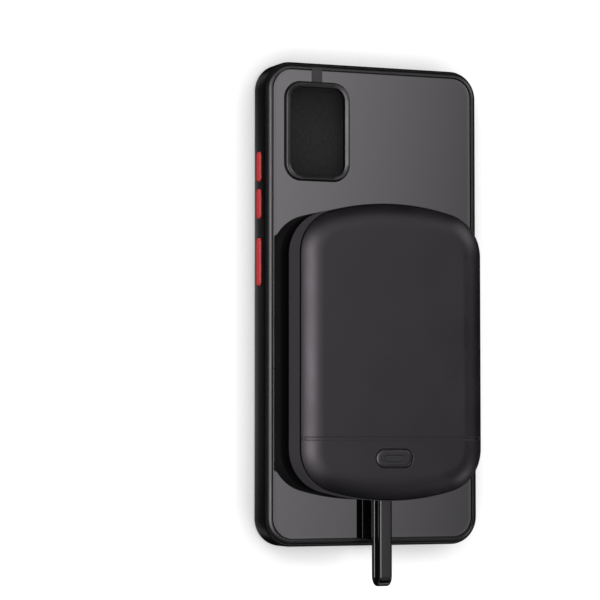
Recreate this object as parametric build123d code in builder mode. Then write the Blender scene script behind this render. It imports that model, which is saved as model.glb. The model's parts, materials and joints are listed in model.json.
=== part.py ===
from build123d import *
import os
from math import sqrt

# Battery charging case: a bumper case with a battery pack docked on its back, in millimetres.
# The case lies with its open front down: Z = 0 is the plane of the front lip, +Z points out of the back,
# +Y to the top of the case and +X to the right as seen from the back. The origin is the middle of the
# front opening.

os.makedirs("parts", exist_ok=True)

# Pocket and the soft frame round it
pocket_width = 75.1
pocket_length = 160.1
pocket_depth = 9.0
side_wall = 2.2
case_corner = 9.5
lip_depth = 1.3
lip_overhang = 1.1
lip_round = 0.4
front_round = 1.2
back_round = 2.2
rim_width = 2.3
rim_proud = 0.1
ledge_width = 1.4
ledge_thickness = 0.9

# Glossy back panel
panel_thickness = 1.0
panel_gap = 0.15
panel_edge_round = 0.12

# Camera window, measured from the case's top left corner seen from the back
camera_from_side = 18.65
camera_from_top = 23.6
ring_width = 24.0
ring_length = 33.9
ring_corner = 6.0
ring_band = 1.8
ring_height = 1.2
ring_round = 0.5
opening_round = 0.8
ring_fit = 0.1
bridge_width = 3.7

# Openings in the frame's end walls
port_level = 5.5
port_width = 14.0
port_height = 7.0
speaker_width = 13.0
speaker_height = 3.0
speaker_offset = 20.5
microphone_radius = 1.0
microphone_offset = 14.0

# Side keys, each with its middle measured from the top of the case
volume_up_from_top = 35.75
volume_down_from_top = 48.4
power_from_top = 68.15
volume_key_length = 10.2
power_key_length = 16.3
key_height = 2.8
key_level = 5.0
key_proud = 0.5
key_round = 0.45
key_gap = 0.25
key_web = 1.2
key_flange = 0.8
key_flange_thickness = 0.45
key_seat = 0.05

# Steel ring that the pack's magnets hold on to
dock_ring_outer = 27.5
dock_ring_inner = 20.5
dock_ring_thickness = 0.4

# Battery pack: outline in plan and its place on the back
pack_width = 67.6
pack_corner = 15.0
end_arch = 86.0
pack_x = 0.85
pack_y = -16.5
grip_thickness = 0.9
grip_inset = 5.0

# Rear shell of the pack
shell_height = 11.6
shell_wall = 1.8
shell_floor = 1.2
foot_round = 3.4
rim_round = 0.35
rim_bevel = 1.4

# Crowned cover of the pack
reveal_height = 0.4
cover_inset = 0.5
crown_height = 2.1
crown_width = 7.5
cover_skin = 1.6
hollow_inset = 3.2
hollow_round = 0.4
skirt_wall = 1.0
skirt_depth = 2.0
skirt_fit = 0.1
channel_width = 1.2
channel_depth = 0.3
channel_from_end = 21.0

# Pill key in the cover, its light window and the switch below it
pill_length = 13.6
pill_width = 6.35
pill_from_end = 14.3
pill_gap = 0.25
pill_proud = 0.15
pill_round = 0.4
pill_flange = 0.8
pill_flange_thickness = 0.7
pill_seat = 0.05
pill_travel = 0.5
window_length = 7.6
window_width = 2.1
window_fit = 0.05
stem_radius = 1.1
stem_length = 1.0
stem_offset = 5.1
switch_side = 4.5
switch_height = 3.3
plunger_radius = 0.95
plunger_fit = 0.2
plunger_engagement = 1.0

# Circuit board and what is on it
board_thickness = 1.0
board_width = 44.0
board_length = 18.0
board_from_end = 6.8
board_wing = 8.4
board_wing_length = 9.4
post_radius = 1.5
post_inset = 3.0
chip_side = 5.0
chip_height = 0.9
chip_offset = 12.0
inductor_side = 6.2
inductor_height = 3.0
inductor_round = 1.2
inductor_offset = -15.0
light_length = 1.2
light_width = 0.8
light_height = 0.6
light_pitch = 1.9
light_count = 3

# Battery cell and what holds it
cell_width = 56.0
cell_length = 62.0
cell_thickness = 7.8
cell_from_top = 9.6
cell_round = 1.6
terrace_length = 3.6
terrace_thickness = 0.8
terrace_margin = 6.0
terrace_gap = 0.6
cell_pad_thickness = 0.4
cell_pad_margin = 4.0
foam_margin = 8.0
foam_gap = 0.1
tab_width = 4.0
tab_thickness = 0.2
tab_overlap = 2.0
tab_pitch = 20.0

# Magnets set into the pack's floor
magnet_count = 12
magnet_circle = 24.0
magnet_radius = 2.5
magnet_thickness = 0.8
magnet_fit = 0.05

# Input socket in the pack's side wall
socket_width = 8.94
socket_height = 3.2
socket_length = 7.3
socket_corner = 1.1
socket_skin = 0.3
socket_gap = 0.2
socket_recess = 0.4
socket_from_end = 20.8
tongue_width = 6.6
tongue_height = 0.7
tongue_length = 4.6

# Flat charging lead, bent once into a hairpin, and its stowed plug
strap_width = 4.9
strap_thickness = 1.7
strap_edge = 0.6
strap_gap = 3.45
strap_front = 9.9
strap_drop = 28.9
strap_inside = 8.3
strap_fit = 0.15
plug_width = 11.0
plug_height = 3.3
plug_length = 12.0
plug_corner = 1.2
plug_recess = 0.3
plug_fit = 0.15
plug_tip_width = 8.3
plug_tip_height = 2.5
plug_tip_length = 6.5
plug_tip_skin = 0.3
dock_wall = 1.2
dock_height = 3.6
clamp_length = 2.8
clamp_roof = 0.9
inner_clearance = 0.6

# Levels and places that follow from the sizes above
case_width = pocket_width + 2 * side_wall
case_length = pocket_length + 2 * side_wall
panel_bottom = lip_depth + pocket_depth
panel_top = panel_bottom + panel_thickness
case_depth = panel_top + rim_proud
ledge_bottom = panel_bottom - ledge_thickness
panel_inset = rim_width + panel_gap

camera_x = camera_from_side - case_width / 2
camera_y = case_length / 2 - camera_from_top
ring_top = panel_top + ring_height
seat_end = case_length / 2 - rim_width
bridge_start = camera_y + ring_length / 2

key_face = -case_width / 2 - key_proud
key_floor = -case_width / 2 + key_web
pocket_side = -pocket_width / 2

shell_bottom = panel_top + grip_thickness
floor_top = shell_bottom + shell_floor
shell_top = shell_bottom + shell_height
cover_bottom = shell_top + reveal_height
cover_top = cover_bottom + crown_height
cover_under = cover_top - cover_skin
crown_radius = (crown_width**2 + crown_height**2) / (2 * crown_height)
crown_inset = cover_inset + crown_width - crown_radius
skirt_inset = shell_wall + skirt_fit

# the pack is as long as the cell and the board, one after the other, with room at both ends
cell_stretch = cell_from_top + cell_length + terrace_length + terrace_gap
pack_length = cell_stretch + board_length + board_from_end
pack_end = -pack_length / 2
pill_y = pack_end + pill_from_end
channel_y = pack_end + channel_from_end
stem_x = -stem_offset
flange_top = cover_under - pill_seat
flange_bottom = flange_top - pill_flange_thickness
stem_bottom = flange_bottom - stem_length

board_bottom = floor_top + dock_height
board_top = board_bottom + board_thickness
board_start = pack_end + board_from_end
board_end = board_start + board_length
switch_top = board_top + switch_height
plunger_bottom = switch_top - plunger_engagement

cell_bottom = floor_top + cell_pad_thickness
cell_top = cell_bottom + cell_thickness
cell_y = pack_length / 2 - cell_from_top - cell_length / 2
cell_start = cell_y - cell_length / 2

socket_y = pack_end + socket_from_end
socket_z = board_top + socket_height / 2
socket_mouth = pack_width / 2 - socket_recess

front_limb = panel_top + strap_front - strap_thickness / 2
rear_limb = front_limb - strap_gap - strap_thickness
bend_radius = (front_limb - rear_limb) / 2
bend_y = pack_end - strap_drop + bend_radius + strap_thickness / 2
lead_end = pack_end + strap_inside
plug_face = pack_end + plug_recess
plug_back = plug_face + plug_length
tip_end = plug_back + plug_tip_length
inner_start = pack_end + skirt_inset + skirt_wall + inner_clearance
dock_width = plug_width + 2 * plug_fit
# the lead lies in line with the port in the middle of the case
lead_x = -pack_x


def pack_plane(level):
    """Plane at this height with its origin in the middle of the pack."""
    return Plane((pack_x, pack_y, level))


def end_plane(place):
    """Plane across the lead's line at this distance along the pack, facing the pack's lower end."""
    return Plane((pack_x + lead_x, pack_y + place, 0), x_dir=(1, 0, 0), z_dir=(0, -1, 0))


def pack_outline(set_in, mode=Mode.ADD):
    """Pack outline in plan: straight sides, arched ends and round corners, all set in by one amount."""
    side = pack_width / 2 - set_in
    end = pack_length / 2 - set_in
    arch = end_arch - set_in
    corner = pack_corner - set_in
    arch_centre = end - arch
    corner_x = side - corner
    corner_y = arch_centre + sqrt((arch - corner) ** 2 - corner_x**2)
    meet = Vector(corner_x, corner_y - arch_centre).normalized()
    meet_x = meet.X * arch
    meet_y = arch_centre + meet.Y * arch
    bulge = (meet + Vector(1, 0)).normalized() * corner
    bulge_x = corner_x + bulge.X
    bulge_y = corner_y + bulge.Y
    with BuildLine() as outline:
        ThreePointArc((-meet_x, meet_y), (0, end), (meet_x, meet_y))
        ThreePointArc((meet_x, meet_y), (bulge_x, bulge_y), (side, corner_y))
        Line((side, corner_y), (side, -corner_y))
        ThreePointArc((side, -corner_y), (bulge_x, -bulge_y), (meet_x, -meet_y))
        ThreePointArc((meet_x, -meet_y), (0, -end), (-meet_x, -meet_y))
        ThreePointArc((-meet_x, -meet_y), (-bulge_x, -bulge_y), (-side, -corner_y))
        Line((-side, -corner_y), (-side, corner_y))
        ThreePointArc((-side, corner_y), (-bulge_x, bulge_y), (-meet_x, meet_y))
    make_face(outline.edges(), mode=mode)


def case_outline(set_in):
    """Case outline in plan, set in from the outer wall."""
    RectangleRounded(case_width - 2 * set_in, case_length - 2 * set_in, case_corner - set_in)


def crown(set_in):
    """Crowned slab of the cover, smaller by one amount all round and on top."""
    radius = crown_radius - set_in
    with BuildPart() as slab:
        with BuildSketch(pack_plane(cover_bottom - crown_radius)):
            pack_outline(crown_inset + set_in)
        extrude(amount=crown_radius + crown_height - set_in)
        fillet(slab.faces().sort_by(Axis.Z)[-1].edges(), radius)
        split(bisect_by=Plane.XY.offset(cover_bottom), keep=Keep.TOP)
    return slab.part


def side_key(name, from_top, length):
    """Key cap in the left wall: a round-ended cap with a flange that keeps it behind the wall."""
    place = (case_length / 2 - from_top, key_level)
    with BuildPart() as key:
        with BuildSketch(Plane.YZ.offset(key_face)):
            with Locations(place):
                SlotOverall(length, key_height)
        extrude(amount=key_floor + key_seat - key_face)
        fillet(key.faces().sort_by(Axis.X)[0].edges(), key_round)
        with BuildSketch(Plane.YZ.offset(key_floor + key_seat)):
            with Locations(place):
                SlotOverall(length + 2 * key_flange, key_height + 2 * key_flange)
        extrude(amount=key_flange_thickness)
    key.part.label = name
    export_step(key.part, f"parts/{name}.step")


side_keys = (
    ("volume_up_button", volume_up_from_top, volume_key_length),
    ("volume_down_button", volume_down_from_top, volume_key_length),
    ("power_button", power_from_top, power_key_length),
)

# Soft frame, moulded in one piece with the camera rim and the bridge to it
with BuildPart() as bumper_frame:
    with BuildSketch():
        case_outline(0)
    extrude(amount=case_depth)
    fillet(bumper_frame.faces().sort_by(Axis.Z)[-1].edges(), back_round)
    fillet(bumper_frame.faces().sort_by(Axis.Z)[0].edges(), front_round)
    # front opening, inside the lip
    with BuildSketch():
        case_outline(side_wall + lip_overhang)
    extrude(amount=lip_depth, mode=Mode.SUBTRACT)
    # pocket
    with BuildSketch(Plane.XY.offset(lip_depth)):
        case_outline(side_wall)
    extrude(amount=ledge_bottom - lip_depth, mode=Mode.SUBTRACT)
    # window inside the ledge that carries the panel
    with BuildSketch(Plane.XY.offset(ledge_bottom)):
        case_outline(rim_width + ledge_width)
    extrude(amount=ledge_thickness, mode=Mode.SUBTRACT)
    # seat of the panel
    with BuildSketch(Plane.XY.offset(panel_bottom)):
        case_outline(rim_width)
    extrude(amount=case_depth - panel_bottom, mode=Mode.SUBTRACT)
    lip_edges = bumper_frame.faces().sort_by(Axis.Z)[0].inner_wires()[0].edges()
    fillet(lip_edges, lip_round)
    # camera rim
    with BuildSketch(Plane.XY.offset(panel_bottom)):
        with Locations((camera_x, camera_y)):
            RectangleRounded(ring_width, ring_length, ring_corner)
    extrude(amount=ring_top - panel_bottom)
    fillet(bumper_frame.faces().sort_by(Axis.Z)[-1].edges(), ring_round)
    # bridge from the rim to the top of the frame
    with BuildSketch(Plane.XY.offset(panel_bottom)):
        with Locations((camera_x, bridge_start - ring_band)):
            Rectangle(bridge_width, seat_end - bridge_start + 2 * ring_band, align=(Align.CENTER, Align.MIN))
    extrude(amount=panel_thickness)
    # camera opening, with its upper edge rounded
    with BuildSketch(Plane.XY.offset(panel_bottom)):
        with Locations((camera_x, camera_y)):
            RectangleRounded(ring_width - 2 * ring_band, ring_length - 2 * ring_band, ring_corner - ring_band)
    extrude(amount=ring_top - panel_bottom, mode=Mode.SUBTRACT)
    opening_edges = bumper_frame.faces().sort_by(Axis.Z)[-1].inner_wires()[0].edges()
    fillet(opening_edges, opening_round)
    # charging port, speaker and microphone openings in the lower end wall
    with BuildSketch(Plane.XZ.offset(pocket_length / 2)):
        with Locations((0, port_level)):
            SlotOverall(port_width, port_height)
        with Locations((speaker_offset, port_level)):
            SlotOverall(speaker_width, speaker_height)
        with Locations((-microphone_offset, port_level)):
            Circle(microphone_radius)
    extrude(amount=side_wall, mode=Mode.SUBTRACT)
    # microphone hole in the upper end wall
    with BuildSketch(Plane.XZ.offset(-pocket_length / 2)):
        with Locations((-microphone_offset, port_level)):
            Circle(microphone_radius)
    extrude(amount=-side_wall, mode=Mode.SUBTRACT)
    # slot through the wall and flange pocket behind it for each side key
    for key_name, key_from_top, key_length in side_keys:
        key_place = (case_length / 2 - key_from_top, key_level)
        with BuildSketch(Plane.YZ.offset(-case_width / 2)):
            with Locations(key_place):
                SlotOverall(key_length + 2 * key_gap, key_height + 2 * key_gap)
        extrude(amount=side_wall, mode=Mode.SUBTRACT)
        with BuildSketch(Plane.YZ.offset(key_floor)):
            with Locations(key_place):
                SlotOverall(
                    key_length + 2 * (key_flange + key_gap),
                    key_height + 2 * (key_flange + key_gap),
                )
        extrude(amount=pocket_side - key_floor, mode=Mode.SUBTRACT)
bumper_frame.part.label = "bumper_frame"
export_step(bumper_frame.part, "parts/bumper_frame.step")

# Red key caps in the left wall
for key_name, key_from_top, key_length in side_keys:
    side_key(key_name, key_from_top, key_length)

# Glossy panel, cut out for the camera rim and its bridge
with BuildPart() as back_panel:
    with BuildSketch(Plane.XY.offset(panel_bottom)):
        case_outline(panel_inset)
        with Locations((camera_x, camera_y)):
            RectangleRounded(
                ring_width + 2 * ring_fit,
                ring_length + 2 * ring_fit,
                ring_corner + ring_fit,
                mode=Mode.SUBTRACT,
            )
        with Locations((camera_x, camera_y)):
            Rectangle(
                bridge_width + 2 * ring_fit,
                case_length,
                align=(Align.CENTER, Align.MIN),
                mode=Mode.SUBTRACT,
            )
    extrude(amount=panel_thickness)
    fillet(back_panel.faces().sort_by(Axis.Z)[-1].outer_wire().edges(), panel_edge_round)
back_panel.part.label = "back_panel"
export_step(back_panel.part, "parts/back_panel.step")

# Steel ring bonded to the inner side of the panel
with BuildPart() as docking_plate:
    with BuildSketch(pack_plane(panel_bottom - dock_ring_thickness)):
        Circle(dock_ring_outer)
        Circle(dock_ring_inner, mode=Mode.SUBTRACT)
    extrude(amount=dock_ring_thickness)
docking_plate.part.label = "docking_plate"
export_step(docking_plate.part, "parts/docking_plate.step")

# Soft pad between the panel and the pack
with BuildPart() as grip_pad:
    with BuildSketch(pack_plane(panel_top)):
        pack_outline(grip_inset)
    extrude(amount=grip_thickness)
grip_pad.part.label = "grip_pad"
export_step(grip_pad.part, "parts/grip_pad.step")

# Rear shell of the pack: an open tray
with BuildPart() as rear_shell:
    with BuildSketch(pack_plane(shell_bottom)):
        pack_outline(0)
    extrude(amount=shell_height)
    fillet(rear_shell.faces().sort_by(Axis.Z)[0].edges(), foot_round)
    fillet(rear_shell.faces().sort_by(Axis.Z)[-1].edges(), rim_round)
    with BuildSketch(pack_plane(floor_top)):
        pack_outline(shell_wall)
    extrude(amount=shell_height - shell_floor, mode=Mode.SUBTRACT)
    # bevel inside the rim, which makes the parting line a dark groove
    rim_edges = rear_shell.faces().sort_by(Axis.Z)[-1].inner_wires()[0].edges()
    chamfer(rim_edges, rim_bevel)
    # posts under the corners of the board
    with BuildSketch(pack_plane(floor_top)):
        with Locations((0, board_start + board_length / 2)):
            with GridLocations(board_width - 2 * post_inset, board_length - 2 * post_inset, 2, 2):
                Circle(post_radius)
    extrude(amount=dock_height)
    # pockets of the magnets
    with BuildSketch(pack_plane(floor_top)):
        with PolarLocations(magnet_circle, magnet_count):
            Circle(magnet_radius + magnet_fit)
    extrude(amount=-magnet_thickness, mode=Mode.SUBTRACT)
    # openings in the lower end wall for the stowed plug and the fixed end of the lead
    with BuildSketch(end_plane(pack_end + shell_wall + inner_clearance)):
        with Locations((0, rear_limb)):
            RectangleRounded(plug_width + 2 * plug_fit, plug_height + 2 * plug_fit, plug_corner + plug_fit)
        with Locations((0, front_limb)):
            RectangleRounded(
                strap_width + 2 * strap_fit, strap_thickness + 2 * strap_fit, strap_edge + strap_fit
            )
    extrude(amount=shell_wall + 2 * inner_clearance, mode=Mode.SUBTRACT)
    # opening in the right side wall for the input socket
    with BuildSketch(Plane((pack_x + pack_width / 2, pack_y, 0), x_dir=(0, 1, 0), z_dir=(1, 0, 0))):
        with Locations((socket_y, socket_z)):
            RectangleRounded(
                socket_width + 2 * socket_gap, socket_height + 2 * socket_gap, socket_corner + socket_gap
            )
    extrude(amount=-2 * shell_wall, mode=Mode.SUBTRACT)
rear_shell.part.label = "rear_shell"
export_step(rear_shell.part, "parts/rear_shell.step")

# Crowned cover with its skirt, the channel across it and the opening of the pill key
cover_slab = crown(0)
channel_floor = crown(channel_depth)
with BuildPart() as channel_cutter:
    with BuildSketch(pack_plane(cover_bottom)):
        with Locations((0, channel_y)):
            Rectangle(pack_width, channel_width)
    extrude(amount=crown_height)
    add(channel_floor, mode=Mode.SUBTRACT)

with BuildPart() as front_cover:
    add(cover_slab)
    with BuildSketch(pack_plane(cover_bottom)):
        pack_outline(hollow_inset)
    extrude(amount=crown_height - cover_skin, mode=Mode.SUBTRACT)
    hollow_roof = front_cover.faces().filter_by(Axis.Z).sort_by(Axis.Z)[-2]
    fillet(hollow_roof.edges(), hollow_round)
    with BuildSketch(pack_plane(shell_top - skirt_depth)):
        pack_outline(skirt_inset)
        pack_outline(skirt_inset + skirt_wall, mode=Mode.SUBTRACT)
    extrude(amount=skirt_depth + reveal_height)
    add(channel_cutter.part, mode=Mode.SUBTRACT)
    with BuildSketch(pack_plane(cover_under)):
        with Locations((0, pill_y)):
            SlotOverall(pill_length, pill_width)
    extrude(amount=cover_skin, mode=Mode.SUBTRACT)
front_cover.part.label = "front_cover"
export_step(front_cover.part, "parts/front_cover.step")

# Pill key: cap, flange behind the cover, stem to the switch and a slot for the light window
with BuildPart() as pack_button:
    with BuildSketch(pack_plane(flange_top)):
        with Locations((0, pill_y)):
            SlotOverall(pill_length - 2 * pill_gap, pill_width - 2 * pill_gap)
    extrude(amount=cover_top + pill_proud - flange_top)
    fillet(pack_button.faces().sort_by(Axis.Z)[-1].edges(), pill_round)
    with BuildSketch(pack_plane(flange_bottom)):
        with Locations((0, pill_y)):
            SlotOverall(pill_length + 2 * pill_flange, pill_width + 2 * pill_flange)
    extrude(amount=pill_flange_thickness)
    with BuildSketch(pack_plane(stem_bottom)):
        with Locations((stem_x, pill_y)):
            Circle(stem_radius)
    extrude(amount=stem_length)
    with BuildSketch(pack_plane(flange_bottom)):
        with Locations((0, pill_y)):
            SlotOverall(window_length, window_width)
    extrude(amount=cover_top + pill_proud - flange_bottom, mode=Mode.SUBTRACT)
pack_button.part.label = "pack_button"
export_step(pack_button.part, "parts/pack_button.step")

# Light window through the pill key
with BuildPart() as indicator_window:
    with BuildSketch(pack_plane(flange_bottom)):
        with Locations((0, pill_y)):
            SlotOverall(window_length - 2 * window_fit, window_width - 2 * window_fit)
    extrude(amount=cover_top + pill_proud - flange_bottom)
indicator_window.part.label = "indicator_window"
export_step(indicator_window.part, "parts/indicator_window.step")

# Key switch below the pill: body and sprung plunger
with BuildPart() as switch_body:
    with BuildSketch(pack_plane(board_top)):
        with Locations((stem_x, pill_y)):
            Rectangle(switch_side, switch_side)
    extrude(amount=switch_height)
    with BuildSketch(pack_plane(switch_top)):
        with Locations((stem_x, pill_y)):
            Circle(plunger_radius + plunger_fit)
    extrude(amount=-(plunger_engagement + pill_travel + plunger_fit), mode=Mode.SUBTRACT)
switch_body.part.label = "switch_body"
export_step(switch_body.part, "parts/switch_body.step")

with BuildPart() as switch_plunger:
    with BuildSketch(pack_plane(plunger_bottom)):
        with Locations((stem_x, pill_y)):
            Circle(plunger_radius)
    extrude(amount=stem_bottom - plunger_bottom)
switch_plunger.part.label = "switch_plunger"
export_step(switch_plunger.part, "parts/switch_plunger.step")

# Circuit board, with a wing that carries the input socket
with BuildPart() as circuit_board:
    with BuildSketch(pack_plane(board_bottom)):
        with Locations((0, board_start)):
            Rectangle(board_width, board_length, align=(Align.CENTER, Align.MIN))
        with Locations((board_width / 2, socket_y)):
            Rectangle(board_wing, board_wing_length, align=(Align.MIN, Align.CENTER))
    extrude(amount=board_thickness)
circuit_board.part.label = "circuit_board"
export_step(circuit_board.part, "parts/circuit_board.step")

with BuildPart() as charging_chip:
    with BuildSketch(pack_plane(board_top)):
        with Locations((chip_offset, pill_y)):
            Rectangle(chip_side, chip_side)
    extrude(amount=chip_height)
charging_chip.part.label = "charging_chip"
export_step(charging_chip.part, "parts/charging_chip.step")

with BuildPart() as power_inductor:
    with BuildSketch(pack_plane(board_top)):
        with Locations((inductor_offset, pill_y)):
            RectangleRounded(inductor_side, inductor_side, inductor_round)
    extrude(amount=inductor_height)
power_inductor.part.label = "power_inductor"
export_step(power_inductor.part, "parts/power_inductor.step")

with BuildPart() as status_lights:
    with BuildSketch(pack_plane(board_top)):
        with Locations((0, pill_y)):
            with GridLocations(light_pitch, 0, light_count, 1):
                Rectangle(light_length, light_width)
    extrude(amount=light_height)
status_lights.part.label = "status_lights"
export_step(status_lights.part, "parts/status_lights.step")

# Pouch cell with the sealed terrace that its tabs come out of
with BuildPart() as battery_cell:
    with BuildSketch(pack_plane(cell_bottom)):
        with Locations((0, cell_y)):
            RectangleRounded(cell_width, cell_length, cell_round)
    extrude(amount=cell_thickness)
    fillet(battery_cell.faces().sort_by(Axis.Z)[0].edges(), cell_round / 2)
    fillet(battery_cell.faces().sort_by(Axis.Z)[-1].edges(), cell_round / 2)
    with BuildSketch(pack_plane(board_top - terrace_thickness)):
        with Locations((0, cell_start)):
            Rectangle(cell_width - 2 * terrace_margin, 2 * terrace_length)
    extrude(amount=terrace_thickness)
battery_cell.part.label = "battery_cell"
export_step(battery_cell.part, "parts/battery_cell.step")

with BuildPart() as cell_pad:
    with BuildSketch(pack_plane(floor_top)):
        with Locations((0, cell_y)):
            Rectangle(cell_width - 2 * cell_pad_margin, cell_length - 2 * cell_pad_margin)
    extrude(amount=cell_pad_thickness)
cell_pad.part.label = "cell_pad"
export_step(cell_pad.part, "parts/cell_pad.step")

with BuildPart() as cell_foam:
    with BuildSketch(pack_plane(cell_top)):
        with Locations((0, cell_y)):
            Rectangle(cell_width - 2 * foam_margin, cell_length - 2 * foam_margin)
    extrude(amount=cover_under - foam_gap - cell_top)
cell_foam.part.label = "cell_foam"
export_step(cell_foam.part, "parts/cell_foam.step")

# Tabs from the cell's terrace to the board
with BuildPart() as cell_tabs:
    with BuildSketch(pack_plane(board_top)):
        with GridLocations(tab_pitch, 0, 2, 1):
            with Locations((0, board_end - tab_overlap)):
                Rectangle(
                    tab_width,
                    cell_start - board_end + tab_overlap,
                    align=(Align.CENTER, Align.MIN),
                )
    extrude(amount=tab_thickness)
cell_tabs.part.label = "cell_tabs"
export_step(cell_tabs.part, "parts/cell_tabs.step")

# Ring of magnets in the pack's floor
with BuildPart() as magnets:
    with BuildSketch(pack_plane(floor_top)):
        with PolarLocations(magnet_circle, magnet_count):
            Circle(magnet_radius)
    extrude(amount=-magnet_thickness)
magnets.part.label = "magnets"
export_step(magnets.part, "parts/magnets.step")

# Input socket: a drawn steel shell with its contact tongue
with BuildPart() as input_socket:
    with BuildSketch(Plane((pack_x + socket_mouth, pack_y, 0), x_dir=(0, 1, 0), z_dir=(1, 0, 0))):
        with Locations((socket_y, socket_z)):
            RectangleRounded(socket_width, socket_height, socket_corner)
    extrude(amount=-socket_length)
    with BuildSketch(Plane((pack_x + socket_mouth, pack_y, 0), x_dir=(0, 1, 0), z_dir=(1, 0, 0))):
        with Locations((socket_y, socket_z)):
            RectangleRounded(
                socket_width - 2 * socket_skin, socket_height - 2 * socket_skin, socket_corner - socket_skin
            )
    extrude(amount=socket_skin - socket_length, mode=Mode.SUBTRACT)
input_socket.part.label = "input_socket"
export_step(input_socket.part, "parts/input_socket.step")

with BuildPart() as socket_tongue:
    with BuildSketch(
        Plane(
            (pack_x + socket_mouth - socket_length + socket_skin, pack_y, 0), x_dir=(0, 1, 0), z_dir=(1, 0, 0)
        )
    ):
        with Locations((socket_y, socket_z)):
            Rectangle(tongue_width, tongue_height)
    extrude(amount=tongue_length)
socket_tongue.part.label = "socket_tongue"
export_step(socket_tongue.part, "parts/socket_tongue.step")

# Flat lead: out of the pack, once round and back up to its plug
with BuildPart() as charging_loop:
    with BuildLine() as route:
        front_run = Line(
            (pack_x + lead_x, pack_y + lead_end, front_limb),
            (pack_x + lead_x, pack_y + bend_y, front_limb),
        )
        hairpin = ThreePointArc(
            front_run @ 1,
            (pack_x + lead_x, pack_y + bend_y - bend_radius, (front_limb + rear_limb) / 2),
            (pack_x + lead_x, pack_y + bend_y, rear_limb),
        )
        Line(hairpin @ 1, (pack_x + lead_x, pack_y + plug_face, rear_limb))
    with BuildSketch(end_plane(lead_end)):
        with Locations((0, front_limb)):
            RectangleRounded(strap_width, strap_thickness, strap_edge)
    sweep(path=route.wires()[0])
charging_loop.part.label = "charging_loop"
export_step(charging_loop.part, "parts/charging_loop.step")

# Stowed plug: grip and metal tip
with BuildPart() as plug_body:
    with BuildSketch(end_plane(plug_back)):
        with Locations((0, rear_limb)):
            RectangleRounded(plug_width, plug_height, plug_corner)
    extrude(amount=plug_length)
plug_body.part.label = "plug_body"
export_step(plug_body.part, "parts/plug_body.step")

with BuildPart() as plug_shell:
    with BuildSketch(end_plane(tip_end)):
        with Locations((0, rear_limb)):
            SlotOverall(plug_tip_width, plug_tip_height)
            SlotOverall(
                plug_tip_width - 2 * plug_tip_skin, plug_tip_height - 2 * plug_tip_skin, mode=Mode.SUBTRACT
            )
    extrude(amount=plug_tip_length)
plug_shell.part.label = "plug_shell"
export_step(plug_shell.part, "parts/plug_shell.step")

# Dock: two rails and an end stop that keep the plug in line, under the board
with BuildPart() as plug_dock:
    with BuildSketch(pack_plane(floor_top)):
        with Locations((lead_x, inner_start)):
            Rectangle(
                dock_width + 2 * dock_wall,
                tip_end + inner_clearance + dock_wall - inner_start,
                align=(Align.CENTER, Align.MIN),
            )
            Rectangle(
                dock_width,
                tip_end + inner_clearance - inner_start,
                align=(Align.CENTER, Align.MIN),
                mode=Mode.SUBTRACT,
            )
    extrude(amount=dock_height)
plug_dock.part.label = "plug_dock"
export_step(plug_dock.part, "parts/plug_dock.step")

# Clamp across the dock's rails that holds the fixed end of the lead
with BuildPart() as lead_clamp:
    with BuildSketch(pack_plane(board_bottom)):
        with Locations((lead_x, inner_start)):
            Rectangle(dock_width + 2 * dock_wall, clamp_length, align=(Align.CENTER, Align.MIN))
    extrude(amount=front_limb + strap_thickness / 2 + clamp_roof - board_bottom)
    with BuildSketch(end_plane(inner_start + clamp_length)):
        with Locations((0, front_limb)):
            RectangleRounded(
                strap_width + 2 * strap_fit, strap_thickness + 2 * strap_fit, strap_edge + strap_fit
            )
    extrude(amount=clamp_length, mode=Mode.SUBTRACT)
lead_clamp.part.label = "lead_clamp"
export_step(lead_clamp.part, "parts/lead_clamp.step")
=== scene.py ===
# %% [markdown]
# # Dressing a battery charging case
#
# The case is a soft black frame round a polished plate, with a battery pack docked on its back. The solids
# are loaded as a fixed frame, in metres, and every piece that shows is then modelled again with finer edges
# and given its finish. Loading first means that each piece can take its place from the solid it stands for.

import json
import math

import bmesh
import bpy
from mathutils import Matrix, Vector


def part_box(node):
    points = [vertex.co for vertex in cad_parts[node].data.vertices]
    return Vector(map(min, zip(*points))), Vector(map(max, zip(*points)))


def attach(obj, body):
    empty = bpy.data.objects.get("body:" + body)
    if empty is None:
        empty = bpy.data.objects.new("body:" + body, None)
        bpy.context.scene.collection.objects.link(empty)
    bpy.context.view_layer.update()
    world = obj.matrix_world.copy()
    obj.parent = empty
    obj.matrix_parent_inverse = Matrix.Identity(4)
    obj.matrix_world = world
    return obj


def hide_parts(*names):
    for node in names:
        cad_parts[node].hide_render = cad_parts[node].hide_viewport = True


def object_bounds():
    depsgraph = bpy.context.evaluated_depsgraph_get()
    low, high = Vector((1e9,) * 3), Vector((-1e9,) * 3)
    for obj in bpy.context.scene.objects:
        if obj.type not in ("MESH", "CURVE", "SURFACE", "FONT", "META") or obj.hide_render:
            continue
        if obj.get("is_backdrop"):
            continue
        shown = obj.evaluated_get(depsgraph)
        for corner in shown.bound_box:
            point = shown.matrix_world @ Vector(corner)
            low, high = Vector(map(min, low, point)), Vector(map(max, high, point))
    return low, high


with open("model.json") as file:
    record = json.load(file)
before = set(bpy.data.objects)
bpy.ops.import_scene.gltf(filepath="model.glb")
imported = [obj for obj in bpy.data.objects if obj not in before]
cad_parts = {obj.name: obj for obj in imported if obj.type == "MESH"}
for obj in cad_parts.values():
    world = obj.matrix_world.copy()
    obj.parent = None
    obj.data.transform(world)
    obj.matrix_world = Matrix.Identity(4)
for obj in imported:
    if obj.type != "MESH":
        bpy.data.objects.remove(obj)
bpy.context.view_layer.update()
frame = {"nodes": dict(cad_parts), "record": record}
mm = 0.001
bodies = frame["record"]["behaviour"]["bodies"]
body_of_node = {node: body for body, nodes in bodies.items() for node in nodes}

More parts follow.
